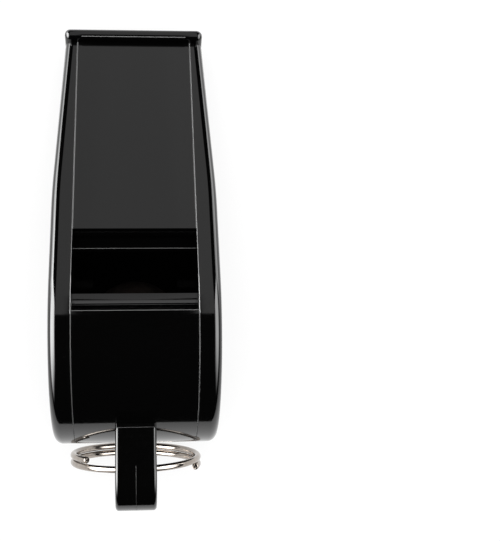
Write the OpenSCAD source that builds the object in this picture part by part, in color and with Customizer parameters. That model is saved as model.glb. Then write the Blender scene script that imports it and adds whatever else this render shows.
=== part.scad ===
// A moulded pea whistle, lying as it rests: on the bottom of its barrel and the lower edge of its
// mouth rim, with the window side up. X is the width, +Y is towards the mouth, +Z is up.
// The profile is drawn flat first: x runs from the barrel's centre to the mouth, y runs to the
// window side, and z runs across the width. One module then stands it up in the rest position.

/* [Barrel] */
// Outside diameter of the barrel
barrel_d = 25.4; // [22:0.1:30]
// Thickness of the barrel wall
barrel_wall = 2.0; // [1.6:0.1:2.6]
// Width over the two side shells at the barrel
body_w = 18.0; // [16.5:0.1:22]
// Thickness of each side shell
shell_t = 2.4; // [2:0.05:2.8]

/* [Mouthpiece] */
// From the barrel's centre to the front of the mouth rim
mouth_reach = 33.45; // [30:0.05:40]
// Height of the mouthpiece just behind the rim
mouth_h = 7.4; // [6.6:0.1:8.4]
// How far each side face has come in at the mouth
side_taper = 1.1; // [0.8:0.05:1.4]
// From the barrel's centre to where the sides begin to narrow
taper_start = 11.0; // [9:0.1:13]
// Angle between the roof and the underside
underside_angle = 16; // [12:0.5:20]
// Radius of the hollow curve between the barrel and the underside
neck_r = 9.5; // [6:0.1:12]

/* [Mouth rim] */
// Thickness of the rim, which has full round edges
rim_t = 1.15; // [0.9:0.05:1.5]
// Height of the rim over its round edges
rim_h = 9.6; // [9:0.1:11]
// How far the rim's round ends stand out past the side faces at the mouth
rim_side = 0.1; // [0:0.05:0.5]
// How far the rim stands above the roof
rim_stand = 0.75; // [0.4:0.05:1.2]
// How far the rim leans back from square, in degrees
rim_lean = 2.4; // [0:0.1:4]

/* [Windway and window] */
// Thickness of the roof plate
roof_t = 1.5; // [1.2:0.1:1.8]
// From the barrel's centre to the roof's end, where the window begins
roof_end = 5.7; // [5:0.1:7]
// Height of the air slit at the window
slit_h = 0.9; // [0.7:0.05:1.1]
// Height of the air passage at the mouth
passage_h = 4.0; // [3:0.1:4.4]
// How far the windway floor runs on past the roof's end
floor_reach = 0.6; // [0.2:0.1:1]
// Open length between the roof's end and the sharp lip
lip_gap = 6.7; // [5.6:0.1:7.4]
// Slope of the lip's upper face, in degrees
lip_angle = 27; // [20:1:34]

/* [Edges and panel] */
// Radius along the outer edge of each side shell
edge_r = 1.0; // [0.5:0.1:1.4]
// Diameter of the sunk round panel on each side
panel_d = 16.7; // [12:0.1:18]
// Depth of the sunk panel
panel_depth = 0.4; // [0.2:0.05:0.7]
// Height of the raised ornament on the panel
relief_h = 0.25; // [0.1:0.05:0.35]
// Width over the points of a star
star_d = 2.5; // [1.6:0.1:3]
// From the panel's centre to the middle of the stars and leaves
ornament_r = 6.0; // [5:0.1:6.6]
// Length of a leaf
leaf_l = 1.9; // [1.2:0.1:2.4]
// Width of a leaf
leaf_w = 0.85; // [0.5:0.05:1.2]
// Leaves in each of the two sprays
leaf_count = 7; // [3:1:8]

/* [Lug] */
// Thickness of the lug
lug_t = 4.4; // [3.6:0.1:5.2]
// Width of the lug, which is also the diameter of its round end
lug_w = 7.8; // [6.8:0.1:9]
// Diameter of the lug's hole
lug_hole_d = 3.8; // [3.2:0.1:4.4]
// From the outside of the barrel to the hole's centre
lug_stand = 3.85; // [3.3:0.05:7.3]
// How far the lug points below the mouthpiece's line, in degrees
lug_angle = 6.5; // [0:0.5:12]

/* [Pea] */
// Room between the ball, of cork stained black, and each side of the chamber
pea_side_room = 1.1; // [0.8:0.05:2]
// Room between the ball and the chamber wall under it
pea_clearance = 0.2; // [0.1:0.05:0.4]

/* [Split ring] */
// Outside diameter of the ring
ring_d = 15.0; // [14:0.1:18]
// Diameter of the wire
wire_d = 0.75; // [0.6:0.05:0.9]
// Gap between neighbouring turns of the wire
turn_gap = 0.45; // [0.42:0.01:0.6]
// Room between the wire and the hole's wall
wire_clearance = 0.15; // [0.1:0.05:0.25]
// Where the first wire end lies, in degrees from the top of the ring
wire_start = 53; // [30:1:80]
// How far round the wire runs, in degrees
wire_sweep = 585; // [525:15:645]

/* [Hidden] */
$fn = 96;
moulding_colour = "#1b1b1c";
pea_colour = "#2a2623";
nickel_colour = "#c9c3bb";
// Overrun of every cut past the faces that it opens
cut = 1.0;
// Degrees by which two rounded edges overlap where they meet
edge_overlap = 0.3;

barrel_r = barrel_d / 2;
chamber_r = barrel_r - barrel_wall;
rim_r = rim_t / 2;
// Width of the middle mouldings, which is also the inside width of the chamber
band_w = body_w - shell_t * 2;
pea_d = band_w - pea_side_room * 2;

// The middles of the rim's two round edges in the profile
rim_top = [mouth_reach - rim_r, barrel_r + rim_stand - rim_r];
rim_span = rim_h - rim_t;
rim_low = [rim_top.x - rim_span * sin(rim_lean), rim_top.y - rim_span * cos(rim_lean)];
// How far along x the rim's middle line is at a height y of the profile
function rim_x(y) = rim_top.x - (rim_top.y - y) * tan(rim_lean);

// The underside is a straight line that ends at the rim, mouth_h under the roof
under_end = [rim_x(barrel_r - mouth_h), barrel_r - mouth_h];
under_dir = [cos(underside_angle), sin(underside_angle)];
under_out = [sin(underside_angle), -cos(underside_angle)];
// The hollow curve touches the underside line and the barrel: its centre is neck_r outside the line
// and barrel_r + neck_r from the barrel's centre
neck_drop = under_end * under_out + neck_r;
neck_along = sqrt(pow(barrel_r + neck_r, 2) - pow(neck_drop, 2));
neck_centre = neck_drop * under_out + neck_along * under_dir;
neck_on_line = neck_centre - neck_r * under_out;
neck_on_barrel = neck_centre * barrel_r / (barrel_r + neck_r);
neck_angle = atan2(neck_centre.y, neck_centre.x);

// The windway's floor line, from the window to the mouth
floor_end = roof_end - floor_reach;
slit_low = barrel_r - roof_t - slit_h;
passage_low = barrel_r - roof_t - passage_h;
// The sharp lip lies on the chamber's circle
lip_x = roof_end - lip_gap;
lip_y = sqrt(pow(chamber_r, 2) - pow(lip_x, 2));

// How fast each side face comes in towards the mouth
taper_slope = side_taper / (mouth_reach - taper_start);
// Width of the rim over its round ends, and of the part of it on each side shell
rim_w = body_w - (side_taper - rim_side) * 2;
rim_end_w = (rim_w - band_w) / 2;

lug_reach = barrel_r + lug_stand;
lug_centre = [-lug_reach * cos(lug_angle), -lug_reach * sin(lug_angle)];

// The rest tilt that sets both the barrel and the rim's lower edge on the ground
rest_tilt = atan2(rim_low.y, rim_low.x) + asin((barrel_r - rim_r) / norm(rim_low));
// Where a point of the profile lies along Y and Z once the whistle is laid down
function rest_y(p) = p.x * cos(rest_tilt) + p.y * sin(rest_tilt);
function rest_z(p) = barrel_r - p.x * sin(rest_tilt) + p.y * cos(rest_tilt);
// The origin is under the middle of the whole whistle, from the lug's end to the rim
back_y = rest_y(lug_centre) - lug_w / 2;
front_y = rest_y(rim_top) + rim_r;
middle_y = (front_y + back_y) / 2;

// The ring hangs straight down from the hole, and touches nothing: its wire is lowest where it
// leaves the lug, so that is where the clearance is kept
ring_mean_r = (ring_d - wire_d) / 2;
wire_bow = ring_mean_r - sqrt(pow(ring_mean_r, 2) - pow(lug_t / 2, 2));
wire_drop = (lug_hole_d - wire_d) / 2 - wire_bow - wire_clearance;
ring_turn = wire_d + turn_gap;
ring_middle = [
    0,
    rest_y(lug_centre) - middle_y,
    rest_z(lug_centre) - wire_drop - ring_mean_r
];

// Stands the flat profile up in the rest position
module at_rest() {
    translate([0, -middle_y, barrel_r])
        rotate([-rest_tilt, 0, 0])
            rotate([90, 0, 90])
                children();
}

// Profiles extruded evenly to both sides of the middle, each by itself
module across(width) {
    for (i = [0:$children - 1])
        translate([0, 0, -width / 2])
            linear_extrude(height = width)
                children(i);
}

// The mouthpiece and the hollow curve that joins it to the barrel
module neck_outline() {
    difference() {
        polygon([
            [0, 0],
            [0, barrel_r],
            [rim_x(barrel_r), barrel_r],
            under_end,
            neck_on_line,
            neck_centre,
            neck_on_barrel
        ]);
        translate(neck_centre)
            circle(r = neck_r);
    }
}

// The leaning frame of the mouth rim, with the middle of its upper round edge at zero
module at_rim() {
    translate(rim_top)
        rotate(-rim_lean)
            children();
}

module rim_plate() {
    translate([-rim_r, -rim_span])
        square([rim_t, rim_span]);
}

module rim_low_edge() {
    translate([0, -rim_span])
        circle(r = rim_r);
}

// The mouth rim: a straight plate with two round edges
module rim_bar(width) {
    at_rim()
        across(width) {
            circle(r = rim_r);
            rim_plate();
            rim_low_edge();
        }
}

// The mouthpiece with the rim's plate across its end
module mouthpiece_outline() {
    neck_outline();
    at_rim()
        rim_plate();
}

// Everything over the windway's floor line, out past the rim
module above_floor() {
    polygon([
        [floor_end, slit_low],
        [mouth_reach + cut, passage_low],
        [mouth_reach + cut, barrel_r + rim_stand + cut],
        [floor_end, barrel_r + rim_stand + cut]
    ]);
}

// The window: from the floor's end back to the sloping face of the lip
module window_cut() {
    ramp_top = barrel_r + cut;
    ramp_run = (ramp_top - lip_y) / tan(lip_angle);
    polygon([
        [floor_end, 0],
        [floor_end, ramp_top],
        [lip_x - ramp_run, ramp_top],
        [lip_x, lip_y],
        [lip_x, 0]
    ]);
}

module lug_outline() {
    translate(lug_centre)
        circle(d = lug_w);
    rotate(lug_angle)
        translate([-lug_reach, -lug_w / 2])
            square([lug_reach - chamber_r + barrel_wall / 2, lug_w]);
}

// The middle moulding: barrel wall, windway floor, underside, lip, lower rim and lug
module barrel_band() {
    color(moulding_colour)
        at_rest() {
            difference() {
                across(band_w) {
                    circle(r = barrel_r);
                    mouthpiece_outline();
                    at_rim()
                        rim_low_edge();
                }
                across(band_w + cut * 2) {
                    circle(r = chamber_r);
                    above_floor();
                    window_cut();
                }
            }
            difference() {
                across(lug_t)
                    lug_outline();
                translate([lug_centre.x, lug_centre.y, -lug_t / 2 - cut])
                    cylinder(d = lug_hole_d, h = lug_t + cut * 2);
                translate([0, 0, -lug_t / 2 - cut])
                    cylinder(r = chamber_r + barrel_wall / 2, h = lug_t + cut * 2);
            }
        }
}

// Everything over the windway's roof line, from the window out past the rim
module above_windway() {
    across(band_w + cut * 2)
        translate([roof_end, barrel_r - roof_t])
            square([mouth_reach - roof_end + cut, roof_t + rim_stand + cut]);
}

// The roof plate over the windway, with the upper middle part of the rim
module windway_roof() {
    color(moulding_colour)
        at_rest()
            intersection() {
                across(band_w) {
                    mouthpiece_outline();
                    at_rim()
                        circle(r = rim_r);
                }
                above_windway();
            }
}

// What a rounded edge takes away, in a section with both walls at zero and the solid at plus
module edge_waste() {
    difference() {
        translate([-cut, -cut])
            square(edge_r + cut);
        translate([edge_r, edge_r])
            circle(r = edge_r);
    }
}

// Waste along a straight edge that starts at the origin and runs along x, for a solid at y under it
module straight_waste(length) {
    rotate([90, 0, 90])
        linear_extrude(height = length)
            rotate(180)
                edge_waste();
}

// Waste round a convex wall of radius r
module convex_waste(r, from, sweep) {
    rotate_extrude(angle = sweep, start = from)
        translate([r, 0])
            rotate(180)
                edge_waste();
}

// Waste round a hollow wall of radius r
module hollow_waste(r, from, sweep) {
    rotate_extrude(angle = sweep, start = from)
        translate([r, 0])
            mirror([0, 1])
                edge_waste();
}

// The sheared frame of the narrowing side face, whose surface is at z = 0
module on_taper() {
    translate([taper_start, 0, body_w / 2])
        multmatrix([
            [1, 0, 0, 0],
            [0, 1, 0, 0],
            [-taper_slope, 0, 1, 0],
            [0, 0, 0, 1]
        ])
            translate([-taper_start, 0, 0])
                children();
}

// The rounded end of the rim on one side
module rim_end() {
    intersection() {
        translate([0, 0, (rim_w + band_w) / 4 + cut / 2])
            rim_bar(rim_end_w + cut);
        translate([rim_top.x, rim_top.y, 0])
            rotate([0, 0, -rim_lean])
                translate([0, rim_t, 0])
                    rotate([90, 0, 0])
                        linear_extrude(height = rim_span + rim_t * 2) {
                            translate([0, rim_w / 2 - rim_r])
                                circle(r = rim_r);
                            translate([-rim_r, 0])
                                square([rim_t, rim_w / 2 - rim_r]);
                        }
    }
}

module star() {
    inner_share = 0.382;
    points = 5;
    polygon([
        for (i = [0:points * 2 - 1])
            let (a = i * 180 / points, share = i % 2 == 0 ? 1 : inner_share)
                share * star_d / 2 * [sin(a), cos(a)]
    ]);
}

// A leaf is where two equal circles overlap
module leaf() {
    bow_r = (pow(leaf_l / 2, 2) + pow(leaf_w / 2, 2)) / leaf_w;
    intersection() {
        translate([leaf_w / 2 - bow_r, 0])
            circle(r = bow_r);
        translate([bow_r - leaf_w / 2, 0])
            circle(r = bow_r);
    }
}

// Two stars, and a spray of plain leaves on each side between them
module ornament() {
    star_lean = 7.5;
    spray_sweep = 108;
    leaf_turn = 28;
    for (side = [0, 180])
        rotate(side + star_lean)
            translate([0, ornament_r])
                star();
    for (side = [-1, 1])
        for (i = [0:leaf_count - 1])
            rotate(star_lean + side * (90 + spray_sweep * (i / (leaf_count - 1) - 1 / 2)))
                translate([0, ornament_r])
                    rotate(side * (90 - leaf_turn))
                        leaf();
}

// One side moulding, on the +z side of the profile
module side_shell() {
    hollow_from = 90 + underside_angle - edge_overlap;
    difference() {
        translate([0, 0, (body_w + band_w) / 4])
            across(shell_t) {
                circle(r = barrel_r);
                neck_outline();
            }
        translate([0, 0, body_w / 2])
            convex_waste(barrel_r, 90, 270 + neck_angle + edge_overlap);
        translate([0, barrel_r, body_w / 2])
            straight_waste(taper_start);
        on_taper() {
            translate([taper_start, -barrel_r - cut, 0])
                cube([mouth_reach, barrel_d + cut * 2, shell_t]);
            translate([taper_start, barrel_r, 0])
                straight_waste(rim_x(barrel_r) - taper_start + cut);
            translate([neck_centre.x, neck_centre.y, 0])
                hollow_waste(neck_r, hollow_from, 180 + neck_angle - hollow_from);
            translate([neck_on_line.x, neck_on_line.y, 0])
                rotate([0, 0, underside_angle])
                    mirror([0, 1, 0])
                        straight_waste(norm(under_end - neck_on_line) + cut);
        }
        translate([0, 0, body_w / 2 - panel_depth])
            cylinder(d = panel_d, h = panel_depth + cut);
    }
    translate([0, 0, body_w / 2 - panel_depth])
        linear_extrude(height = relief_h)
            ornament();
    rim_end();
}

module right_side_shell() {
    color(moulding_colour)
        at_rest()
            side_shell();
}

module left_side_shell() {
    color(moulding_colour)
        at_rest()
            mirror([0, 0, 1])
                side_shell();
}

// The loose ball, lying at the lowest point of the chamber
module pea() {
    color(pea_colour)
        translate([0, -middle_y, barrel_r - chamber_r + pea_d / 2 + pea_clearance])
            sphere(d = pea_d);
}

// The wire's middle line: one helix, passing through the hole at 360 degrees
rings_a_turn = 24;
wire_sides = 6;
wire_steps = ceil(wire_sweep / 360 * rings_a_turn);
function wire_angle(i) = wire_start + wire_sweep * i / wire_steps;
function wire_along(a) = ring_turn * (1 - a / 360);
function wire_point(a, r) = [-r * sin(a), wire_along(a), r * cos(a)];
wire_rings = [
    for (i = [0:wire_steps])
        let (a = wire_angle(i))
            [
                for (j = [0:wire_sides - 1])
                    let (b = 360 * j / wire_sides)
                        wire_point(a, ring_mean_r + cos(b) * wire_d / 2) + [0, sin(b) * wire_d / 2, 0]
            ]
];
// The least distance between surfaces of turns that lie side by side
wire_gap = min([
    for (i = [0:wire_steps], j = [0:wire_steps])
        if (abs(wire_angle(i) - wire_angle(j)) > 180)
            norm(wire_point(wire_angle(i), ring_mean_r) - wire_point(wire_angle(j), ring_mean_r)) - wire_d
]);
echo(least_gap_between_turns = wire_gap);

module split_ring() {
    points = [for (ring = wire_rings) for (p = ring) p];
    last = wire_steps * wire_sides;
    faces = concat(
        [for (j = [1:wire_sides - 2]) [0, j, j + 1]],
        [for (j = [1:wire_sides - 2]) [last, last + j + 1, last + j]],
        [
            for (i = [0:wire_steps - 1], j = [0:wire_sides - 1], half = [0, 1])
                let (
                    k = (j + 1) % wire_sides,
                    here = i * wire_sides,
                    next = here + wire_sides
                )
                    half == 0 ? [here + j, next + j, next + k] : [here + j, next + k, here + k]
        ]
    );
    color(nickel_colour)
        translate(ring_middle)
            polyhedron(points = points, faces = faces);
}

barrel_band();
windway_roof();
right_side_shell();
left_side_shell();
pea();
split_ring();
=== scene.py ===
# %% [markdown]
# A moulded pea whistle, about 55 mm long, photographed from straight above on a white table.
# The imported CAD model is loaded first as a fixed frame. It gives the true place and size of each
# moulding. Its surfaces are flat facets, and gloss black plastic mirrors every facet. So here each
# piece is built again with fine curves, real edge radii and seams, and stands for its CAD node.

# %% Load the frame
import math

import bmesh
import bpy
from mathutils import Matrix, Vector, noise


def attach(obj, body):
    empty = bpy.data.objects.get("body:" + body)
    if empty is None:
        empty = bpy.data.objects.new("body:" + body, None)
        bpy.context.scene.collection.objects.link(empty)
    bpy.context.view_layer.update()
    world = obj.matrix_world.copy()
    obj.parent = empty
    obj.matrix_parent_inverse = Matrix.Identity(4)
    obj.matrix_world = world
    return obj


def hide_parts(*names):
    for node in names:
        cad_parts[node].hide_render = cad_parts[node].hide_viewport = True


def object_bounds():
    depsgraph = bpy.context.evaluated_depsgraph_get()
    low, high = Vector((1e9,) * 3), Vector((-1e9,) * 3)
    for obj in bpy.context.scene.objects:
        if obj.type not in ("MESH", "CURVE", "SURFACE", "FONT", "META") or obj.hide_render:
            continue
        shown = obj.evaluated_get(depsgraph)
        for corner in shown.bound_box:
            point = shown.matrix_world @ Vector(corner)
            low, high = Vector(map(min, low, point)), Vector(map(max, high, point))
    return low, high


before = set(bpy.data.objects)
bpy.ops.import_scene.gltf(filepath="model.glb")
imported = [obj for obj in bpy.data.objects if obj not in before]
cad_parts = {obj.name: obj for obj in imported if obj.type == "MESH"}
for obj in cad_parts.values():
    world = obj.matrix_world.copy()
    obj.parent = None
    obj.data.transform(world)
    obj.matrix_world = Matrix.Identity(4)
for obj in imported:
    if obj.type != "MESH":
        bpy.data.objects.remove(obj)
cad_box = [list(corner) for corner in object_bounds()]
print("CAD box in metres", cad_box)

# %% [markdown]
# Colours are written as they look on screen, in sRGB hex. Shaders work in linear light, so one
# function turns a hex value into the linear colour that a socket wants.

# %% Colour and node helpers
def linear(hex_colour):
    parts = [int(hex_colour[i:i + 2], 16) / 255 for i in (1, 3, 5)]
    return [p / 12.92 if p <= 0.04045 else ((p + 0.055) / 1.055) ** 2.4 for p in parts] + [1.0]


def add_node(tree, kind, settings=None, **inputs):
    """Add a node, set its properties, and fill or link its inputs by name or number."""
    node = tree.nodes.new(kind)
    for name, value in (settings or {}).items():
        setattr(node, name, value)
    for name, value in inputs.items():
        key = int(name[1:]) if name[0] == "_" and name[1:].isdigit() else name.replace("_", " ")
        if isinstance(value, bpy.types.NodeSocket):
            tree.links.new(value, node.inputs[key])
        else:
            node.inputs[key].default_value = value
    return node


print("mid grey #808080 in linear light", [round(c, 3) for c in linear("#808080")])

# %% [markdown]
# The flat side drawing of the whistle is the easiest place to model in: u runs from the barrel's
# centre to the mouth, v runs up to the window side, and w runs across the width, in millimetres.
# One matrix then stands the drawing up as the whistle rests, and turns millimetres into metres.

# %% The whistle's sizes in millimetres
BARREL_R = 12.7
CHAMBER_R = 10.7
HALF_BODY = 9.0
HALF_BAND = 6.6
SIDE_TAPER = 1.02
TAPER_START = 11.0
MOUTH_REACH = 33.45
RIM_REACH = 33.03
MOUTH_H = 7.4
UNDER_MEETS_RIM = 32.5575
UNDERSIDE = math.radians(16)
NECK_R = 9.5
RIM_T = 1.4
RIM_H = 10.19
RIM_STAND = 1.05
RIM_HALF_W = 8.1
RIM_LEAN = math.radians(2.4)
ROOF_T = 1.5
ROOF_END = 5.7
SLIT_H = 0.9
PASSAGE_H = 4.0
PASSAGE_PAST = 1.0
FLOOR_REACH = 1.05
LIP_GAP = 6.891
LIP_H = 10.852
LIP_HOLLOW = math.radians(32)
LIP_HOLLOW_R = 3.03
LIP_STEEP = math.radians(38)
EDGE_R = 1.0
PANEL_R = 8.35
PANEL_DEPTH = 0.4

# %% Points that follow from those sizes
RIM_R = RIM_T / 2
RIM_SPAN = RIM_H - RIM_T
RIM_TOP = Vector((RIM_REACH - RIM_R, BARREL_R + RIM_STAND - RIM_R))
RIM_UP = Vector((math.sin(RIM_LEAN), math.cos(RIM_LEAN)))
RIM_OUT = Vector((math.cos(RIM_LEAN), -math.sin(RIM_LEAN)))
RIM_LOW = RIM_TOP - RIM_UP * RIM_SPAN


def on_rim(height, side):
    """The point at this v on the rim's back (-1), middle (0) or front (1) line."""
    along = (height - RIM_TOP.y - side * RIM_R * RIM_OUT.y) / RIM_UP.y
    return RIM_TOP + RIM_OUT * side * RIM_R + RIM_UP * along


UNDER_DIR = Vector((math.cos(UNDERSIDE), math.sin(UNDERSIDE)))
UNDER_OUT = Vector((math.sin(UNDERSIDE), -math.cos(UNDERSIDE)))
UNDER_POINT = Vector((UNDER_MEETS_RIM, BARREL_R - MOUTH_H))
past_rim = (UNDER_POINT - RIM_TOP).dot(RIM_OUT) / UNDER_DIR.dot(RIM_OUT)
UNDER_END = UNDER_POINT - UNDER_DIR * past_rim
NECK_DROP = UNDER_POINT.dot(UNDER_OUT) + NECK_R
NECK_ALONG = math.sqrt((BARREL_R + NECK_R) ** 2 - NECK_DROP ** 2)
NECK = UNDER_OUT * NECK_DROP + UNDER_DIR * NECK_ALONG
NECK_ANGLE = math.atan2(NECK.y, NECK.x)
NECK_SWEEP = math.pi / 2 + NECK_ANGLE - UNDERSIDE
TILT = math.atan2(RIM_LOW.y, RIM_LOW.x) + math.asin((BARREL_R - RIM_R) / RIM_LOW.length)
print("rest tilt in degrees", round(math.degrees(TILT), 3), "hollow's centre", NECK)

# %% [markdown]
# The CAD box gives the last number: the barrel's place along Y. The barrel's back is not the
# rearmost point, the lug's round end is, so the barrel's centre is counted from the lug.

# %% The matrix that stands the drawing up
LUG_R = 3.9
LUG_REACH = BARREL_R + 3.85
LUG_LEAN = math.radians(6.5)
LUG = Vector((-math.cos(LUG_LEAN), -math.sin(LUG_LEAN))) * LUG_REACH
MM = 0.001
lug_y = LUG.x * math.cos(TILT) + LUG.y * math.sin(TILT) - LUG_R
BARREL_Y = cad_box[0][1] / MM - lug_y
U_AXIS = Vector((0, math.cos(TILT), -math.sin(TILT)))
V_AXIS = Vector((0, math.sin(TILT), math.cos(TILT)))
W_AXIS = Vector((1, 0, 0))
STAND_UP = Matrix((
    (U_AXIS.x, V_AXIS.x, W_AXIS.x, 0),
    (U_AXIS.y, V_AXIS.y, W_AXIS.y, BARREL_Y),
    (U_AXIS.z, V_AXIS.z, W_AXIS.z, BARREL_R),
    (0, 0, 0, 1),
))
print("barrel centre along Y in mm", round(BARREL_Y, 3))

# %% [markdown]
# The camera looks straight down on the whistle from about 135 mm, as the perspective of the
# photograph says. The whistle stands left of the middle there. Turning the camera aside does most
# of that, and a small frame shift does the rest and keeps the long lines upright. A larger shift
# would cut the whistle off in the side views, because they keep it.

# %% Camera
CAMERA_HEIGHT = 0.1349
CAMERA_Y = -0.00216
AIM_ASIDE = 0.01078
AIM_UP = 0.0008
CAMERA_ROLL = math.radians(-0.33)
FRAME_SHIFT = 0.055
LENS_MM = 70.98
SENSOR_MM = 36.0
CLIP = (0.005, 20.0)
camera_data = bpy.data.cameras.new("camera")
camera_data.lens = LENS_MM
camera_data.sensor_width = SENSOR_MM
camera_data.shift_x = FRAME_SHIFT
camera_data.clip_start, camera_data.clip_end = CLIP
camera = bpy.data.objects.new("camera", camera_data)
bpy.context.scene.collection.objects.link(camera)
camera.location = (0.0, CAMERA_Y, CAMERA_HEIGHT)
turn_aside = math.atan2(AIM_ASIDE, CAMERA_HEIGHT)
turn_up = math.atan2(AIM_UP, CAMERA_HEIGHT)
camera.rotation_euler = (turn_up, -turn_aside, CAMERA_ROLL)
bpy.context.scene.camera = camera
print("camera aims", round(math.degrees(turn_aside), 2), "degrees aside")

# %% [markdown]
# Gloss black shows almost nothing but what stands round it, so the lamps are placed by what the
# plastic mirrors. The real whistle mirrors a dark ceiling, so this room is dark to the gloss too,
# and only the camera sees it white. The table and the cards are what the gloss shows as white.

# %% The room round the whistle
ROOM_LEVEL = 0.008
world = bpy.data.worlds.new("studio")
bpy.context.scene.world = world
world.use_nodes = True
sky = world.node_tree
sky.nodes.clear()
rays = add_node(sky, "ShaderNodeLightPath")
level = add_node(
    sky, "ShaderNodeMix", {"data_type": "FLOAT"},
    _0=rays.outputs["Is Camera Ray"], _2=ROOM_LEVEL, _3=1.0,
)
background = add_node(
    sky, "ShaderNodeBackground", Color=linear("#ffffff"), Strength=level.outputs[0]
)
add_node(sky, "ShaderNodeOutputWorld", Surface=background.outputs["Background"])
print("room level for the mirror of the plastic", ROOM_LEVEL)

# %% [markdown]
# The table is a matt white sheet that ends a little behind the whistle, as its mirror image in the
# barrel shows. To the camera and in the gloss it is partly white by itself, so its shadow stays
# faint, and further out it is all white, so the edge of the sheet never shows.

# %% The table
TABLE = ((-1.5, -0.102), (1.5, 3.0))
WHITE_SHARE = 0.78
SHADOW_REACH = (0.05, 0.09)
floor_mesh = bpy.data.meshes.new("floor")
bm = bmesh.new()
bmesh.ops.create_grid(bm, x_segments=1, y_segments=1, size=0.5)
(table_left, table_near), (table_right, table_far) = TABLE
bmesh.ops.scale(bm, vec=(table_right - table_left, table_far - table_near, 1), verts=bm.verts)
table_middle = ((table_left + table_right) / 2, (table_near + table_far) / 2, 0)
bmesh.ops.translate(bm, vec=table_middle, verts=bm.verts)
bm.to_mesh(floor_mesh)
bm.free()
floor = bpy.data.objects.new("floor", floor_mesh)
bpy.context.scene.collection.objects.link(floor)
paper = bpy.data.materials.new("matt white paper")
paper.use_nodes = True
tree = paper.node_tree
tree.nodes.clear()
seen = add_node(tree, "ShaderNodeLightPath")
spot = add_node(tree, "ShaderNodeTexCoord").outputs["Object"]
out = add_node(tree, "ShaderNodeVectorMath", {"operation": "LENGTH"}, _0=spot)
share = add_node(
    tree, "ShaderNodeMapRange", {"interpolation_type": "SMOOTHSTEP"},
    Value=out.outputs["Value"], From_Min=SHADOW_REACH[0], From_Max=SHADOW_REACH[1],
    To_Min=WHITE_SHARE, To_Max=1.0,
)
shown = add_node(
    tree, "ShaderNodeMath", {"operation": "MAXIMUM"},
    _0=seen.outputs["Is Camera Ray"], _1=seen.outputs["Is Glossy Ray"],
)
own_white = add_node(
    tree, "ShaderNodeMath", {"operation": "MULTIPLY"},
    _0=shown.outputs[0], _1=share.outputs["Result"],
)
matt = add_node(tree, "ShaderNodeBsdfDiffuse", Color=linear("#f4f4f4"))
glow = add_node(tree, "ShaderNodeEmission", Color=linear("#ffffff"), Strength=1.0)
sheet = add_node(
    tree, "ShaderNodeMixShader",
    _0=own_white.outputs[0], _1=matt.outputs[0], _2=glow.outputs[0],
)
add_node(tree, "ShaderNodeOutputMaterial", Surface=sheet.outputs[0])
floor_mesh.materials.append(paper)
print("table", TABLE)

# %% [markdown]
# A large soft lamp overhead lights everything evenly at a plain level, and gloss does not show it.
# All the other lamps are there only for the gloss. They can fade towards their edges, as a lit
# cloth does.

# %% Lamps
WHISTLE_MIDDLE = Vector((0.0, 0.0, 0.012))
LAMP_WATTS = 4  # for a square metre of lamp that a mirror shows at level 1
X, Y, Z = 0, 1, 2


def lamp(name, corner, across, along, level, *fades):
    """A flat lamp from a corner and two sides, with the level at which a mirror shows it. A fade
    names an axis, the place along it where the lamp is dark, and the place where it is full."""
    across, along = Vector(across), Vector(along)
    data = bpy.data.lights.new(name, "AREA")
    data.shape = "RECTANGLE"
    data.size, data.size_y = across.length, along.length
    data.energy = level * LAMP_WATTS * across.length * along.length
    data.use_nodes = True
    tree = data.node_tree
    point = add_node(tree, "ShaderNodeNewGeometry").outputs["Position"]
    places = add_node(tree, "ShaderNodeSeparateXYZ", Vector=point)
    strength = 1.0
    for axis, dark, full in fades:
        fade = add_node(
            tree, "ShaderNodeMapRange", {"interpolation_type": "SMOOTHSTEP"},
            Value=places.outputs[axis], From_Min=dark, From_Max=full,
        )
        strength = add_node(
            tree, "ShaderNodeMath", {"operation": "MULTIPLY"},
            _0=fade.outputs["Result"], _1=strength,
        ).outputs[0]
    if fades:
        tree.links.new(strength, tree.nodes["Emission"].inputs["Strength"])
    made = bpy.data.objects.new(name, data)
    bpy.context.scene.collection.objects.link(made)
    middle = Vector(corner) + (across + along) / 2
    x, y = across.normalized(), along.normalized()
    if x.cross(y).dot(middle - WHISTLE_MIDDLE) < 0:
        x = -x
    turn = Matrix((x, y, x.cross(y))).transposed().to_4x4()
    made.matrix_world = Matrix.Translation(middle) @ turn
    made.visible_camera = False
    print(name, "level", level)
    return made


FILL_SIDE, FILL_HIGH, FILL_LEVEL = 0.8, 0.8, 4.6
fill = lamp(
    "overhead fill", (-FILL_SIDE / 2, -FILL_SIDE / 2, FILL_HIGH),
    (FILL_SIDE, 0, 0), (0, FILL_SIDE, 0), FILL_LEVEL,
)
fill.visible_glossy = False

# %% [markdown]
# What the gloss does show first is a white card low over the far side, cut out round the lens. It
# is one lamp at each side of the cut, one beyond it, and a brighter core.

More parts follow.
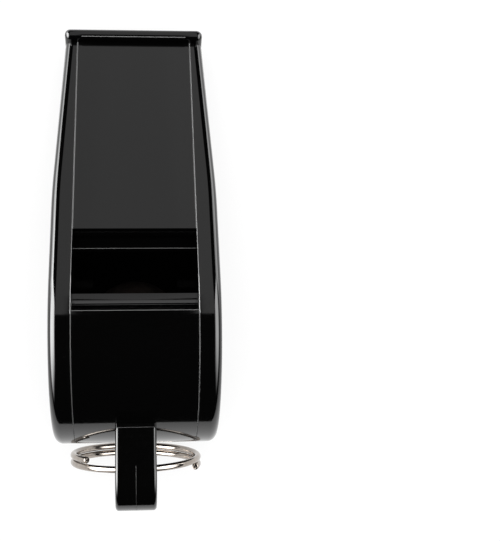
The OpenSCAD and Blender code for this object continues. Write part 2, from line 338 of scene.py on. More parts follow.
# %% The white card over the far side
CARD_HIGH = 0.090
CARD_NEAR, CARD_FAR = 0.0155, 3.0
CARD_HALF = 0.034
NOTCH_HALF, NOTCH_FAR = 0.0104, 0.045
CORE_HALF, CORE_NEAR, CORE_LONG = 0.024, 0.1, 0.2
LEFT_WING, RIGHT_WING, MIDDLE_LEVEL, CORE_LEVEL = 0.55, 0.6, 0.57, 0.15
left_wing, right_wing = (-CARD_HALF, CARD_NEAR, CARD_HIGH), (NOTCH_HALF, CARD_NEAR, CARD_HIGH)
wing_wide = (CARD_HALF - NOTCH_HALF, 0, 0)
wing_long = (0, CARD_FAR - CARD_NEAR, 0)
cards = [
    lamp("left wing of the card", left_wing, wing_wide, wing_long, LEFT_WING),
    lamp("right wing of the card", right_wing, wing_wide, wing_long, RIGHT_WING),
    lamp(
        "middle of the card", (-NOTCH_HALF, NOTCH_FAR, CARD_HIGH),
        (2 * NOTCH_HALF, 0, 0), (0, CARD_FAR - NOTCH_FAR, 0), MIDDLE_LEVEL,
    ),
    lamp(
        "bright core of the card", (-CORE_HALF, CORE_NEAR, CARD_HIGH),
        (2 * CORE_HALF, 0, 0), (0, CORE_LONG, 0), CORE_LEVEL,
    ),
]

# %% [markdown]
# On each side stand a tall soft box and a low card behind it, and a bounce card lies on the table.
# They draw the light line along the rounded edges, and the left side is the brighter one. Two more
# boxes at a plain level stand in the same places as the soft boxes.

# %% The boxes and cards at the sides
BOX_ASIDE, BOX_HIGH = 0.35, 0.80
BOX_NEAR, BOX_FAR = -0.50, 0.31
box = ((0, BOX_FAR - BOX_NEAR, 0), (0, 0, BOX_HIGH))
box_fades = ((Y, BOX_NEAR, 0.0), (Z, 0.74, 0.36))
left_rise, right_rise = (Z, 0.0, 0.13), (Z, 0.06, 0.18)
LOW_ASIDE, LOW_HIGH = 0.34, 0.12
LOW_NEAR, LOW_FAR = 0.13, 0.35
low_card = ((0, LOW_FAR - LOW_NEAR, 0), (0, 0, LOW_HIGH))
low_fades = ((Y, LOW_NEAR, 0.21), (Z, LOW_HIGH, 0.06))
BOUNCE_IN, BOUNCE_OUT = 0.02, 0.32
BOUNCE_NEAR, BOUNCE_FAR = 0.03, 0.37
BOUNCE_LIFT = 0.0005
BOUNCE_FULL = 0.09
LEFT_BOX, LEFT_LOW, LEFT_BOUNCE = 13.5, 8.0, 5.0
RIGHT_BOX, RIGHT_LOW, RIGHT_BOUNCE = 5.8, 3.0, 2.8
PLAIN_LEVEL = 0.9
bounce = ((BOUNCE_OUT - BOUNCE_IN, 0, 0), (0, BOUNCE_FAR - BOUNCE_NEAR, 0))
bounce_end = (Y, 0.015, 0.07)
left_box, right_box = (-BOX_ASIDE, BOX_NEAR, 0), (BOX_ASIDE, BOX_NEAR, 0)
edge_boxes = [
    lamp("left soft box", left_box, *box, LEFT_BOX, *box_fades, left_rise),
    lamp("right soft box", right_box, *box, RIGHT_BOX, *box_fades, right_rise),
    lamp("left low card", (-LOW_ASIDE, LOW_NEAR, 0), *low_card, LEFT_LOW, *low_fades),
    lamp("right low card", (LOW_ASIDE, LOW_NEAR, 0), *low_card, RIGHT_LOW, *low_fades),
    lamp(
        "left bounce card", (-BOUNCE_OUT, BOUNCE_NEAR, BOUNCE_LIFT), *bounce, LEFT_BOUNCE,
        (X, 0.0, -BOUNCE_FULL), bounce_end,
    ),
    lamp(
        "right bounce card", (BOUNCE_IN, BOUNCE_NEAR, BOUNCE_LIFT), *bounce, RIGHT_BOUNCE,
        (X, 0.0, BOUNCE_FULL), bounce_end,
    ),
]
plain_boxes = [
    lamp("left plain box", left_box, *box, PLAIN_LEVEL, *box_fades, right_rise),
    lamp("right plain box", right_box, *box, PLAIN_LEVEL, *box_fades, right_rise),
]
for each in cards + edge_boxes + plain_boxes:
    each.visible_diffuse = False

# %% [markdown]
# Two small pens are all the outlines need. A line extrudes the last vertex to a point, and an arc
# spins the last vertex round a centre. Closing the loop gives an edge ring to fill. The other
# tools pull that sheet into a solid, find and round its edges, mirror it, and join two solids.

# %% Drawing tools
TOUCHING = 1e-4
AT_POINT = 1e-2
WALL_TILT = 0.5  # the normal of an upright wall has less than this along w
FACE_TILT = 0.9  # and the normal of an outer face has more than this


def line_to(bm, vert, point):
    made = bmesh.ops.extrude_vert_indiv(bm, verts=[vert])["verts"][0]
    made.co = (point[0], point[1], 0.0)
    return made


def arc_to(bm, vert, centre, angle, steps):
    made = bmesh.ops.spin(
        bm, geom=[vert], cent=(centre[0], centre[1], 0.0), axis=(0, 0, 1), angle=angle, steps=steps
    )
    return next(g for g in made["geom_last"] if isinstance(g, bmesh.types.BMVert))


def thicken(bm, low, high):
    """Fill the drawn loops as a flat sheet, and pull it into a solid from w = low to w = high."""
    bmesh.ops.triangle_fill(bm, edges=bm.edges[:], use_beauty=True, use_dissolve=True)
    bmesh.ops.translate(bm, verts=bm.verts, vec=(0, 0, low))
    pulled = bmesh.ops.extrude_face_region(bm, geom=bm.faces[:])
    top = [g for g in pulled["geom"] if isinstance(g, bmesh.types.BMVert)]
    bmesh.ops.translate(bm, verts=top, vec=(0, 0, high - low))
    bmesh.ops.recalc_face_normals(bm, faces=bm.faces)


def round_edges(bm, edges, radius, segments, finish=0):
    """Round the edges, and give the new faces the finish of that number."""
    made = bmesh.ops.bevel(
        bm, geom=list(edges), offset=radius, offset_type="OFFSET", segments=segments,
        profile=0.5, affect="EDGES", material=-1, clamp_overlap=False,
    )
    for face in made["faces"]:
        face.material_index = finish


def level_edges(bm, height):
    """The edges of the outlines that lie at this w, where a flat face meets the side walls."""
    flat = [e for e in bm.edges if all(abs(v.co.z - height) < TOUCHING for v in e.verts)]
    return [e for e in flat if any(abs(f.normal.z) < WALL_TILT for f in e.link_faces)]


def edges_across(bm, point):
    """The edges that run across the width at this point of an outline."""
    point = Vector(point)
    return [e for e in bm.edges if all((v.co.xy - point).length < AT_POINT for v in e.verts)]


def to_side(bm, side):
    """The left side (-1) is the mirror twin of the right one."""
    if side < 0:
        bmesh.ops.scale(bm, vec=(1, 1, -1), verts=bm.verts)
        bmesh.ops.reverse_faces(bm, faces=bm.faces)


def joined(bm, part):
    """Add another small solid to this one, and free it."""
    holder = bpy.data.meshes.new("part")
    part.to_mesh(holder)
    part.free()
    bm.from_mesh(holder)
    bpy.data.meshes.remove(holder)


print("drawing tools ready")

# %% [markdown]
# Every piece is finished in the same way. The seams and poles are merged, the solid is stood up,
# and its faces are shaded smooth. The large faces decide the normals, so flat sides stay flat.

# %% Finishing a piece
FLAT_CORNER = math.radians(38)
LARGE_FACE_WEIGHT = 80
SAME_POINT = 1e-5


def make_piece(bm, name, body, nodes, finishes, matrix=STAND_UP):
    bmesh.ops.remove_doubles(bm, verts=bm.verts, dist=SAME_POINT)
    bmesh.ops.transform(bm, matrix=Matrix.Scale(MM, 4) @ matrix, verts=bm.verts)
    loose = sum(1 for e in bm.edges if not e.is_manifold)
    mesh = bpy.data.meshes.new(name)
    bm.to_mesh(mesh)
    bm.free()
    mesh.shade_smooth()
    mesh.set_sharp_from_angle(angle=FLAT_CORNER)
    for finish in finishes:
        mesh.materials.append(finish)
    piece = bpy.data.objects.new(name, mesh)
    bpy.context.scene.collection.objects.link(piece)
    even = piece.modifiers.new("even shading", "WEIGHTED_NORMAL")
    even.keep_sharp = True
    even.weight = LARGE_FACE_WEIGHT
    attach(piece, body)
    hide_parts(*nodes)
    print(name, len(mesh.polygons), "faces,", loose, "open edges")


# %% [markdown]
# The mouldings are gloss black ABS, injection moulded against a polished steel tool. That gives a
# deep black with a clear, almost mirror-like surface, which is faintly wavy where the plastic
# shrank, and carries a fine haze from pockets and hands. Where the mouldings meet, the small seam
# edges get a dull, paler colour, which is a painted highlight for the light line they show.
# It is painted brightest beside the window, and dim round the barrel.

# %% Gloss black ABS
PER_MM = 1000  # the scale that repeats a texture once a millimetre, as textures count in metres


def plastic(name, colour, roughness):
    material = bpy.data.materials.new(name)
    material.use_nodes = True
    tree = material.node_tree
    tree.nodes.clear()
    place = add_node(tree, "ShaderNodeTexCoord").outputs["Object"]
    shrink = add_node(tree, "ShaderNodeTexNoise", Vector=place, Scale=0.16 * PER_MM, Detail=1.0)
    marks = add_node(tree, "ShaderNodeTexNoise", Vector=place, Scale=2.6 * PER_MM, Detail=3.0)
    haze = add_node(
        tree, "ShaderNodeMapRange", Value=marks.outputs["Fac"],
        From_Min=0.35, From_Max=0.7, To_Min=roughness * 0.8, To_Max=roughness * 1.5,
    )
    wave = add_node(
        tree, "ShaderNodeBump", Height=shrink.outputs["Fac"], Strength=0.02, Distance=0.001
    )
    skin = add_node(
        tree, "ShaderNodeBsdfPrincipled", Base_Color=linear(colour), IOR=1.52,
        Roughness=haze.outputs["Result"], Normal=wave.outputs["Normal"],
    )
    add_node(tree, "ShaderNodeOutputMaterial", Surface=skin.outputs[0])
    return material


abs_gloss = plastic("gloss black ABS, moulded", "#030303", 0.07)
# The next three colours are painted highlight on the seam edges: medium, dim and bright.
abs_seam_highlight = plastic("black ABS, seam with painted highlight", "#6e6e6e", 0.45)
abs_dim_seam_highlight = plastic("black ABS, seam with dim painted highlight", "#202020", 0.5)
abs_bright_seam_highlight = plastic("black ABS, seam with bright painted highlight", "#9c9c9c", 0.45)
SEAM_HIGHLIGHT = 1
DIM_SEAM_HIGHLIGHT = 2
BRIGHT_SEAM_HIGHLIGHT = 3
print("made", abs_gloss.name, abs_seam_highlight.name, abs_dim_seam_highlight.name, abs_bright_seam_highlight.name)

# %% [markdown]
# The nickel plated wire of the ring is warm grey and bright, drawn and then coiled, so it has fine
# lines along its length.

# %% Nickel plated spring steel
nickel = bpy.data.materials.new("nickel plated spring steel")
nickel.use_nodes = True
tree = nickel.node_tree
tree.nodes.clear()
place = add_node(tree, "ShaderNodeTexCoord").outputs["Object"]
drawn = add_node(tree, "ShaderNodeTexNoise", Vector=place, Scale=1.8 * PER_MM, Detail=4.0)
dull = add_node(
    tree, "ShaderNodeMapRange", Value=drawn.outputs["Fac"],
    From_Min=0.3, From_Max=0.7, To_Min=0.06, To_Max=0.14,
)
tone = add_node(
    tree, "ShaderNodeMix", {"data_type": "RGBA"}, _0=drawn.outputs["Fac"],
    _6=linear("#8d857e"), _7=linear("#b5ada5"),
)
skin = add_node(
    tree, "ShaderNodeBsdfPrincipled", Base_Color=tone.outputs[2], Metallic=1.0,
    Roughness=dull.outputs["Result"],
)
add_node(tree, "ShaderNodeOutputMaterial", Surface=skin.outputs[0])
print("made", nickel.name)

# %% [markdown]
# The ball is turned from natural cork and stained black. Cork is made of grains a millimetre or
# so across, with darker pores between them.

# %% Stained cork
cork = bpy.data.materials.new("cork, stained black")
cork.use_nodes = True
tree = cork.node_tree
tree.nodes.clear()
place = add_node(tree, "ShaderNodeTexCoord").outputs["Object"]
grains = add_node(tree, "ShaderNodeTexVoronoi", Vector=place, Scale=0.9 * PER_MM)
fine = add_node(tree, "ShaderNodeTexNoise", Vector=place, Scale=3.0 * PER_MM, Detail=3.0)
tone = add_node(
    tree, "ShaderNodeMix", {"data_type": "RGBA"}, _0=grains.outputs["Distance"],
    _6=linear("#14100e"), _7=linear("#090706"),
)
pits = add_node(
    tree, "ShaderNodeBump", Height=fine.outputs["Fac"], Strength=0.5, Distance=0.0002
)
skin = add_node(
    tree, "ShaderNodeBsdfPrincipled", Base_Color=tone.outputs[2], Roughness=0.85, IOR=1.45,
    Normal=pits.outputs["Normal"],
)
add_node(tree, "ShaderNodeOutputMaterial", Surface=skin.outputs[0])
print("made", cork.name)

# %% [markdown]
# The middle moulding is one outline pulled across the width: the hollow face behind the lip, its
# steep end, the round barrel, the hollow neck, the underside, the lower rim and the windway floor,
# and back round the sound chamber inside. Only its outer edges show as seams, and they get a fine
# moulded radius.

# %% Outline of the middle moulding
SEAM_R = 0.07
LOW_SEAM_R = 0.035
FINE_EDGE_R = 0.03
INSIDE_R = CHAMBER_R + 0.6
lip = Vector((ROOF_END - LIP_GAP, LIP_H))
lip_foot = Vector((lip.x, math.sqrt(CHAMBER_R ** 2 - lip.x ** 2)))
hollow = lip + Vector((0, LIP_HOLLOW_R))
steep_start = hollow - Vector((math.sin(LIP_HOLLOW), math.cos(LIP_HOLLOW))) * LIP_HOLLOW_R
ramp = Vector((-math.cos(LIP_STEEP), math.sin(LIP_STEEP)))
along = steep_start.dot(ramp)
ramp_top = steep_start + ramp * (
    math.sqrt(along ** 2 + BARREL_R ** 2 - steep_start.length_squared) - along
)
ramp_top_angle = math.atan2(ramp_top.y, ramp_top.x)
floor_end = Vector((ROOF_END - FLOOR_REACH, BARREL_R - ROOF_T - SLIT_H))
floor_slope = (SLIT_H - PASSAGE_H) / (MOUTH_REACH + PASSAGE_PAST - floor_end.x)
floor_front = on_rim(floor_end.y + floor_slope * (MOUTH_REACH - floor_end.x), 1)
floor_front.y = floor_end.y + floor_slope * (floor_front.x - floor_end.x)
chamber_start = Vector((floor_end.x, math.sqrt(CHAMBER_R ** 2 - floor_end.x ** 2)))
chamber_sweep = 2 * math.pi - (
    math.atan2(lip_foot.y, lip_foot.x) - math.atan2(chamber_start.y, chamber_start.x)
)
under_back = UNDER_END - UNDER_DIR * (RIM_R / UNDER_DIR.dot(RIM_OUT))

bm = bmesh.new()
first = bm.verts.new((lip.x, lip.y, 0))
pen = arc_to(bm, first, hollow, -LIP_HOLLOW, steps=18)
pen = line_to(bm, pen, ramp_top)
pen = arc_to(bm, pen, (0, 0), 2 * math.pi + NECK_ANGLE - ramp_top_angle, steps=120)
pen = arc_to(bm, pen, NECK, -NECK_SWEEP, steps=30)
pen = line_to(bm, pen, under_back)
pen = line_to(bm, pen, RIM_LOW - RIM_OUT * RIM_R)
pen = arc_to(bm, pen, RIM_LOW, math.pi, steps=16)
pen = line_to(bm, pen, floor_front)
pen = line_to(bm, pen, floor_end)
pen = line_to(bm, pen, chamber_start)
pen = arc_to(bm, pen, (0, 0), -chamber_sweep, steps=110)
bm.edges.new((pen, first))
print("outline of", len(bm.edges), "edges")

# %% The middle moulding
thicken(bm, -HALF_BAND, HALF_BAND)
seams = [
    e for side in (-HALF_BAND, HALF_BAND) for e in level_edges(bm, side)
    if min(v.co.xy.length for v in e.verts) > INSIDE_R
    and max(v.co.x for v in e.verts) < RIM_LOW.x - RIM_R
]
# These seams, and the two edges across the width below, get the pale seam colour: a painted
# highlight.
round_edges(bm, seams, LOW_SEAM_R, 2, SEAM_HIGHLIGHT)
for point, radius in ((floor_end, FINE_EDGE_R), (ramp_top, LOW_SEAM_R)):
    across = [e for e in edges_across(bm, point) if e.calc_length() > HALF_BAND]
    print(len(across), "edge across the width at", [round(c, 2) for c in point])
    round_edges(bm, across, radius, 2, SEAM_HIGHLIGHT)
make_piece(bm, "barrel_and_windway", "whistle", ["barrel_band"], [abs_gloss, abs_seam_highlight])

# %% [markdown]
# The lug was moulded in two halves, so a fine parting line runs round its end; its dim pale colour
# is a faint painted highlight. Each half is an outline with a hole, pulled to half the thickness,
# with a small radius on every outer edge. Below it, where it meets the barrel, there is a low step
# whose brink is painted only just paler, as a faint painted highlight.

# %% The ring lug
LUG_HALF_T = 2.2
LUG_HOLE_R = 1.9
LUG_EDGE_R = 0.36
LUG_SPREAD = math.radians(0.5)
PARTING_R = 0.02
PARTING_START = LUG_REACH - 0.1
LUG_ROOT = 11.3
STEP_END = 12.5
STEP_HIGH = -LUG_R - 0.1
STEP_DEEP = 1.0
STEP_HALF_T = LUG_HALF_T - 0.12
STEP_EDGE_R = 0.05
for side, name in ((1, "lug_right_half"), (-1, "lug_left_half")):
    bm = bmesh.new()
    touch = Vector((math.sin(LUG_SPREAD), -math.cos(LUG_SPREAD))) * LUG_R + Vector((LUG_REACH, 0))
    root_drop = (touch.x - LUG_ROOT) * math.tan(LUG_SPREAD)
    first = bm.verts.new((LUG_ROOT, touch.y - root_drop, 0))
    pen = line_to(bm, first, touch)
    pen = arc_to(bm, pen, (LUG_REACH, 0), math.pi - LUG_SPREAD, steps=40)
    pen = line_to(bm, pen, (LUG_ROOT, LUG_R))
    bm.edges.new((pen, first))
    bmesh.ops.create_circle(
        bm, cap_ends=False, segments=48, radius=LUG_HOLE_R,
        matrix=Matrix.Translation((LUG_REACH, 0, 0)),
    )
    thicken(bm, 0.0, LUG_HALF_T)
    round_edges(bm, level_edges(bm, LUG_HALF_T), LUG_EDGE_R, 5)
    parting = [e for e in level_edges(bm, 0.0) if min(v.co.x for v in e.verts) > PARTING_START]
    # The parting line's pale colour is a faint painted highlight.
    round_edges(bm, parting, PARTING_R, 2, DIM_SEAM_HIGHLIGHT)
    to_side(bm, side)
    step = bmesh.new()
    first = step.verts.new((LUG_ROOT, STEP_HIGH, 0))
    pen = line_to(step, first, (STEP_END, STEP_HIGH))
    pen = line_to(step, pen, (STEP_END, STEP_HIGH + STEP_DEEP))
    pen = line_to(step, pen, (LUG_ROOT, STEP_HIGH + STEP_DEEP))
    step.edges.new((pen, first))
    thicken(step, 0.0, STEP_HALF_T)
    # The step's brink gets the same faint painted highlight.
    round_edges(step, edges_across(step, (STEP_END, STEP_HIGH)), STEP_EDGE_R, 2, DIM_SEAM_HIGHLIGHT)
    round_edges(step, level_edges(step, STEP_HALF_T), STEP_EDGE_R, 2)
    to_side(step, side)
    joined(bm, step)
    turn = Matrix.Rotation(math.pi + LUG_LEAN, 4, "Z")
    finishes = [abs_gloss, abs_seam_highlight, abs_dim_seam_highlight]
    make_piece(bm, name, "whistle", ["barrel_band"], finishes, STAND_UP @ turn)

# %% [markdown]
# The roof plate is let in between the side shells and carries the upper middle part of the rim. A
# thin pale rod along the crest of the rim is a painted highlight, the light line of its round top.

# %% The roof plate
CREST_HIGHLIGHT_R = 0.045
CREST_HIGHLIGHT_HALF = 6.1
CREST_LEAN = math.radians(18)
NEAR = 1e-3
roof_low = BARREL_R - ROOF_T
bm = bmesh.new()
first = bm.verts.new((ROOF_END, roof_low, 0))
pen = line_to(bm, first, on_rim(roof_low, 1))
pen = line_to(bm, pen, RIM_TOP + RIM_OUT * RIM_R)
pen = arc_to(bm, pen, RIM_TOP, math.pi, steps=16)
pen = line_to(bm, pen, on_rim(BARREL_R, -1))
pen = line_to(bm, pen, (ROOF_END, BARREL_R))
bm.edges.new((pen, first))
thicken(bm, -HALF_BAND, HALF_BAND)
seams = [
    e for side in (-HALF_BAND, HALF_BAND) for e in level_edges(bm, side)
    if max(v.co.x for v in e.verts) < on_rim(BARREL_R, -1).x + NEAR
    and min(v.co.y for v in e.verts) > BARREL_R - NEAR
]
# The roof's seams get the pale seam colour, a painted highlight.
round_edges(bm, seams, SEAM_R, 3, SEAM_HIGHLIGHT)
crest = RIM_TOP + Vector((-math.sin(TILT + CREST_LEAN), math.cos(TILT + CREST_LEAN))) * RIM_R
# The pale rod on the crest is a painted highlight.
crest_highlight = bmesh.new()
bmesh.ops.create_circle(
    crest_highlight, cap_ends=False, segments=12, radius=CREST_HIGHLIGHT_R,
    matrix=Matrix.Translation((crest.x, crest.y, 0)),
)
thicken(crest_highlight, -CREST_HIGHLIGHT_HALF, CREST_HIGHLIGHT_HALF)
for face in crest_highlight.faces:
    face.material_index = SEAM_HIGHLIGHT
joined(bm, crest_highlight)
make_piece(bm, "roof_plate", "whistle", ["windway_roof"], [abs_gloss, abs_seam_highlight])

# %% [markdown]
# A side shell is the whole side outline, 2.4 mm thick at the barrel, and its outer edge is rounded
# to 1 mm all the way round. Its outer face comes in a little towards the mouth, with a soft start,
# so the plate gets a few cuts across and the face is moved in between them. The round panel is
# sunk into the face of the barrel, and the end of the mouth's rim is a solid of its own.

# %% Side shells
FACE_EDGE_R = 0.12
PANEL_STEPS = 128
RIM_END_R = 0.65
TAPER_EASE = 2.4
TAPER_CUTS = 8
BRIGHT_SEAM_END = -4.2
BRIGHT_SEAM_LOW = BARREL_R - 1
BRIGHTEST_SEAM_END = 3.6


def face_edges(bm):
    """The edges where the outer face, flat or narrowing, meets the upright walls."""
    bm.normal_update()
    return [
        e for e in bm.edges
        if len(e.link_faces) == 2
        and max(f.normal.z for f in e.link_faces) > FACE_TILT
        and abs(min(f.normal.z for f in e.link_faces)) < WALL_TILT
    ]


def narrowing(u):
    """How far the outer face has come in at this u. The slope starts softly."""
    slope = SIDE_TAPER / (MOUTH_REACH - TAPER_START)
    past = u - TAPER_START
    if past < -TAPER_EASE:
        return 0.0
    if past > TAPER_EASE:
        return slope * past
    return slope * (past + TAPER_EASE) ** 2 / (4 * TAPER_EASE)


def side_plate():
    bm = bmesh.new()
    first = bm.verts.new((0, BARREL_R, 0))
    pen = arc_to(bm, first, (0, 0), 1.5 * math.pi + NECK_ANGLE, steps=144)
    pen = arc_to(bm, pen, NECK, -NECK_SWEEP, steps=36)
    pen = line_to(bm, pen, UNDER_END)
    pen = line_to(bm, pen, on_rim(BARREL_R, 0))
    bm.edges.new((pen, first))
    thicken(bm, HALF_BAND, HALF_BODY)
    round_edges(bm, face_edges(bm), EDGE_R, 12)
    for i in range(TAPER_CUTS + 1):
        cut_at = TAPER_START + TAPER_EASE * (2 * i / TAPER_CUTS - 1)
        bmesh.ops.bisect_plane(
            bm, geom=bm.verts[:] + bm.edges[:] + bm.faces[:], dist=1e-6,
            plane_co=(cut_at, 0, 0), plane_no=(1, 0, 0),
        )
    for v in bm.verts:
        if v.co.z > HALF_BAND + EDGE_R / 2:
            v.co.z -= narrowing(v.co.x)
    bm.normal_update()
    # The seams get the pale seam colour, a painted highlight: brightest beside the window, medium
    # along the top towards the mouth, and dim round the barrel and low down.
    round_edges(bm, level_edges(bm, HALF_BAND), SEAM_R, 3, SEAM_HIGHLIGHT)
    for face in bm.faces:
        middle = face.calc_center_median()
        if face.material_index != SEAM_HIGHLIGHT:
            continue
        if middle.x < BRIGHT_SEAM_END or middle.y < BRIGHT_SEAM_LOW:
            face.material_index = DIM_SEAM_HIGHLIGHT
        elif middle.x < BRIGHTEST_SEAM_END:
            face.material_index = BRIGHT_SEAM_HIGHLIGHT
    return bm


def sink_panel(bm):
    """Cut a round hole in the flat face, draw its edge down, and close it with a floor."""
    bm.normal_update()
    flat = max((f for f in bm.faces if f.normal.z > FACE_TILT), key=lambda f: f.calc_area())
    outline = flat.edges[:]
    bmesh.ops.delete(bm, geom=[flat], context="FACES_ONLY")
    ring = bmesh.ops.create_circle(
        bm, cap_ends=False, segments=PANEL_STEPS, radius=PANEL_R,
        matrix=Matrix.Translation((0, 0, HALF_BODY)),
    )["verts"]
    brim = list({e for v in ring for e in v.link_edges})
    bmesh.ops.triangle_fill(bm, edges=outline + brim, use_beauty=True, use_dissolve=True)
    drawn = bmesh.ops.extrude_edge_only(bm, edges=brim)["geom"]
    low = [g for g in drawn if isinstance(g, bmesh.types.BMVert)]
    bmesh.ops.translate(bm, verts=low, vec=(0, 0, -PANEL_DEPTH))
    foot = list({e for v in low for e in v.link_edges if all(u in low for u in e.verts)})
    bmesh.ops.contextual_create(bm, geom=foot)
    bmesh.ops.recalc_face_normals(bm, faces=bm.faces)
    round_edges(bm, brim, FACE_EDGE_R, 4)
    round_edges(bm, foot, FACE_EDGE_R, 3)


def rim_end():
    bm = bmesh.new()
    first = bm.verts.new((*(RIM_LOW - RIM_OUT * RIM_R), 0))
    pen = arc_to(bm, first, RIM_LOW, math.pi, steps=20)
    pen = line_to(bm, pen, RIM_TOP + RIM_OUT * RIM_R)
    pen = arc_to(bm, pen, RIM_TOP, math.pi, steps=20)
    bm.edges.new((pen, first))
    thicken(bm, HALF_BAND, RIM_HALF_W)
    round_edges(bm, face_edges(bm), RIM_END_R, 8)
    return bm


SIDES = ((1, "right", "right_side_shell"), (-1, "left", "left_side_shell"))
side_finishes = [abs_gloss, abs_seam_highlight, abs_dim_seam_highlight, abs_bright_seam_highlight]
for side, word, node in SIDES:
    bm = side_plate()
    sink_panel(bm)
    joined(bm, rim_end())
    to_side(bm, side)
    make_piece(bm, word + "_side", "whistle", [node], side_finishes)

# %% [markdown]
# The panel carries two plain stars, and a spray of small leaves on each side between them. Each is
# a closed solid that stands a little in the panel's floor, with its upper edges softened.

# %% Stars and leaves
ORNAMENT_R = 6.0
STAR_POINTS = 5
STAR_R = 1.25
STAR_WAIST = 0.382
STAR_LEAN = math.radians(7.5)
LEAF_L = 1.9
LEAF_W = 0.85
LEAVES = 7
SPRAY = math.radians(108)
LEAF_TURN = math.radians(28)
PANEL_FLOOR = HALF_BODY - PANEL_DEPTH
RELIEF_FOOT = PANEL_FLOOR - 0.1
RELIEF_TOP = PANEL_FLOOR + 0.25
STAR_EDGE_R = 0.07
LEAF_EDGE_R = 0.14


def star():
    bm = bmesh.new()
    corners = 2 * STAR_POINTS
    tips = bmesh.ops.create_circle(bm, cap_ends=False, segments=corners, radius=STAR_R)["verts"]
    order = sorted(tips, key=lambda v: math.atan2(v.co.x, v.co.y) % (2 * math.pi))
    first = min(range(corners), key=lambda i: (order[i].co - Vector((0, STAR_R, 0))).length)
    waist = [order[i] for i in range(corners) if (i - first) % 2]
    bmesh.ops.scale(bm, vec=(STAR_WAIST, STAR_WAIST, 1), verts=waist)
    thicken(bm, RELIEF_FOOT, RELIEF_TOP)
    round_edges(bm, face_edges(bm), STAR_EDGE_R, 3)
    return bm


def leaf():
    bow = (LEAF_L ** 2 + LEAF_W ** 2) / (4 * LEAF_W)
    half = math.asin(LEAF_L / 2 / bow)
    bm = bmesh.new()
    first = bm.verts.new((0, -LEAF_L / 2, 0))
    pen = arc_to(bm, first, (LEAF_W / 2 - bow, 0), 2 * half, steps=12)
    arc_to(bm, pen, (bow - LEAF_W / 2, 0), 2 * half, steps=12)
    bmesh.ops.remove_doubles(bm, verts=bm.verts, dist=TOUCHING)
    thicken(bm, RELIEF_FOOT, RELIEF_TOP)
    round_edges(bm, face_edges(bm), LEAF_EDGE_R, 3)
    return bm


def set_out(part, around, lean):
    """Move a shape out to the ornament's circle, and turn it to its place."""
    place = Matrix.Rotation(around, 4, "Z") @ Matrix.Translation((0, ORNAMENT_R, 0))
    bmesh.ops.transform(part, matrix=place @ Matrix.Rotation(lean, 4, "Z"), verts=part.verts)
    return part


for side, word, node in SIDES:
    bm = bmesh.new()
    for half_turn in (0, math.pi):
        joined(bm, set_out(star(), half_turn + STAR_LEAN, 0))
    for hand in (-1, 1):
        for i in range(LEAVES):
            around = STAR_LEAN + hand * (math.pi / 2 + SPRAY * (i / (LEAVES - 1) - 0.5))
            joined(bm, set_out(leaf(), around, hand * (math.pi / 2 - LEAF_TURN)))
    to_side(bm, side)
    make_piece(bm, word + "_ornament", "whistle", [node], [abs_gloss])

# %% [markdown]
# The ring is one spring wire, wound a little over one and a half turns and pressed together, so
# its turns lie side by side. A circle is spun round the ring's axis and moved along at every step.

# %% The split ring
WIRE_R = 0.375
RING_R = 7.125
WIRE_PITCH = 0.8
WIRE_START = math.radians(49)
WIRE_SWEEP = math.radians(601)
RING_FORWARD = 0.27
WIRE_PLAY = 0.15
WIRE_END_R = 0.12
WIRE_STEPS = 156
lug_y = BARREL_Y + LUG.x * math.cos(TILT) + LUG.y * math.sin(TILT)
lug_z = BARREL_R - LUG.x * math.sin(TILT) + LUG.y * math.cos(TILT)
wire_bow = RING_R - math.sqrt(RING_R ** 2 - LUG_HALF_T ** 2)
wire_drop = LUG_HOLE_R - WIRE_R - wire_bow - WIRE_PLAY
bm = bmesh.new()
across = Matrix.Rotation(-WIRE_START, 4, "Y") @ Matrix.Translation((0, 0, RING_R))
bmesh.ops.create_circle(
    bm, cap_ends=True, segments=20, radius=WIRE_R,
    matrix=across @ Matrix.Rotation(math.pi / 2, 4, "Y"),
)
turned = bmesh.ops.spin(
    bm, geom=bm.edges[:], cent=(0, 0, 0), axis=(0, 1, 0), angle=-WIRE_SWEEP, steps=WIRE_STEPS,
    dvec=(0, -WIRE_PITCH * WIRE_SWEEP / (2 * math.pi) / WIRE_STEPS, 0),
)
last_edges = [g for g in turned["geom_last"] if isinstance(g, bmesh.types.BMEdge)]
bmesh.ops.contextual_create(bm, geom=last_edges)
to_middle = WIRE_PITCH * (1 - WIRE_START / (2 * math.pi))
bmesh.ops.translate(bm, verts=bm.verts, vec=(0, to_middle, 0))
bmesh.ops.recalc_face_normals(bm, faces=bm.faces)
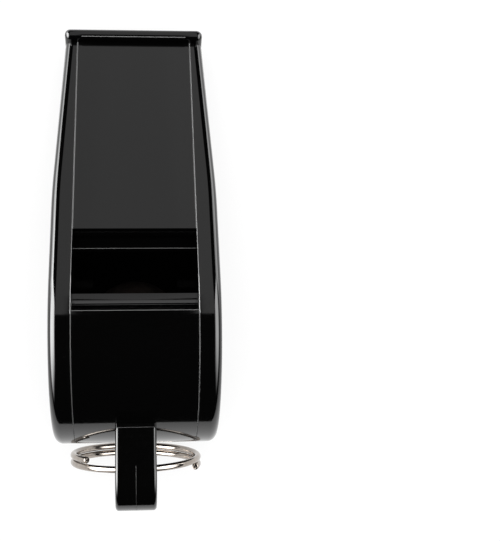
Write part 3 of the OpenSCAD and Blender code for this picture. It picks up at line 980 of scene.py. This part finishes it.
ends = [e for e in bm.edges if any(len(f.verts) > 4 for f in e.link_faces)]
round_edges(bm, ends, WIRE_END_R, 3)
hang = Matrix.Translation((0, lug_y + RING_FORWARD, lug_z - wire_drop - RING_R))
make_piece(bm, "split_ring_wire", "ring", ["split_ring"], [nickel], hang)

# %% [markdown]
# The cork ball lies at the bottom of the sound chamber. It is ground round but keeps shallow pits,
# which are pressed into a fine ball here, always inwards.

# %% The pea
PEA_R = 5.5
PEA_PLAY = 0.2
PEA_Z = BARREL_R - CHAMBER_R + PEA_R + PEA_PLAY
PIT_DEPTH = 0.35
PIT_SIZE = 1.1
PIT_BRIM = 0.2
GRAIN_SHARE = 0.15
GRAINS_PER_MM = 2.3
bm = bmesh.new()
bmesh.ops.create_icosphere(bm, subdivisions=5, radius=PEA_R)
for v in bm.verts:
    pit = max(0.0, noise.noise(v.co / PIT_SIZE) - PIT_BRIM)
    grain = GRAIN_SHARE * abs(noise.noise(v.co * GRAINS_PER_MM))
    v.co -= v.co.normalized() * PIT_DEPTH * (pit + grain)
ball_at = Matrix.Translation((0, BARREL_Y, PEA_Z))
make_piece(bm, "cork_ball", "pea", ["pea"], [cork], ball_at)

# %% [markdown]
# The side boxes are bright, because a rounded black edge gives back only four parts in a hundred.
# Seen flat from the side, the middle mouldings would give back far more and turn white. A studio
# puts up black flags for that. Light linking does the same: the bright boxes light only the side
# mouldings, the lug and the ring, and the rest gets a pair of plain boxes.

# %% Flags between the boxes and the middle mouldings
MIDDLE = ("barrel_and_windway", "roof_plate", "cork_ball")
EDGED = (
    "right_side", "left_side", "right_ornament", "left_ornament",
    "lug_right_half", "lug_left_half", "split_ring_wire",
)
for title, names, boxes in (("edged", EDGED, edge_boxes), ("middle", MIDDLE, plain_boxes)):
    lit = bpy.data.collections.new("lit as " + title)
    for name in names:
        lit.objects.link(bpy.data.objects[name])
    for box in boxes:
        box.light_linking.receiver_collection = lit
    print(len(boxes), "lamps light only", names)

# %% Finish with the Standard view transform
bpy.context.scene.view_settings.view_transform = "Standard"
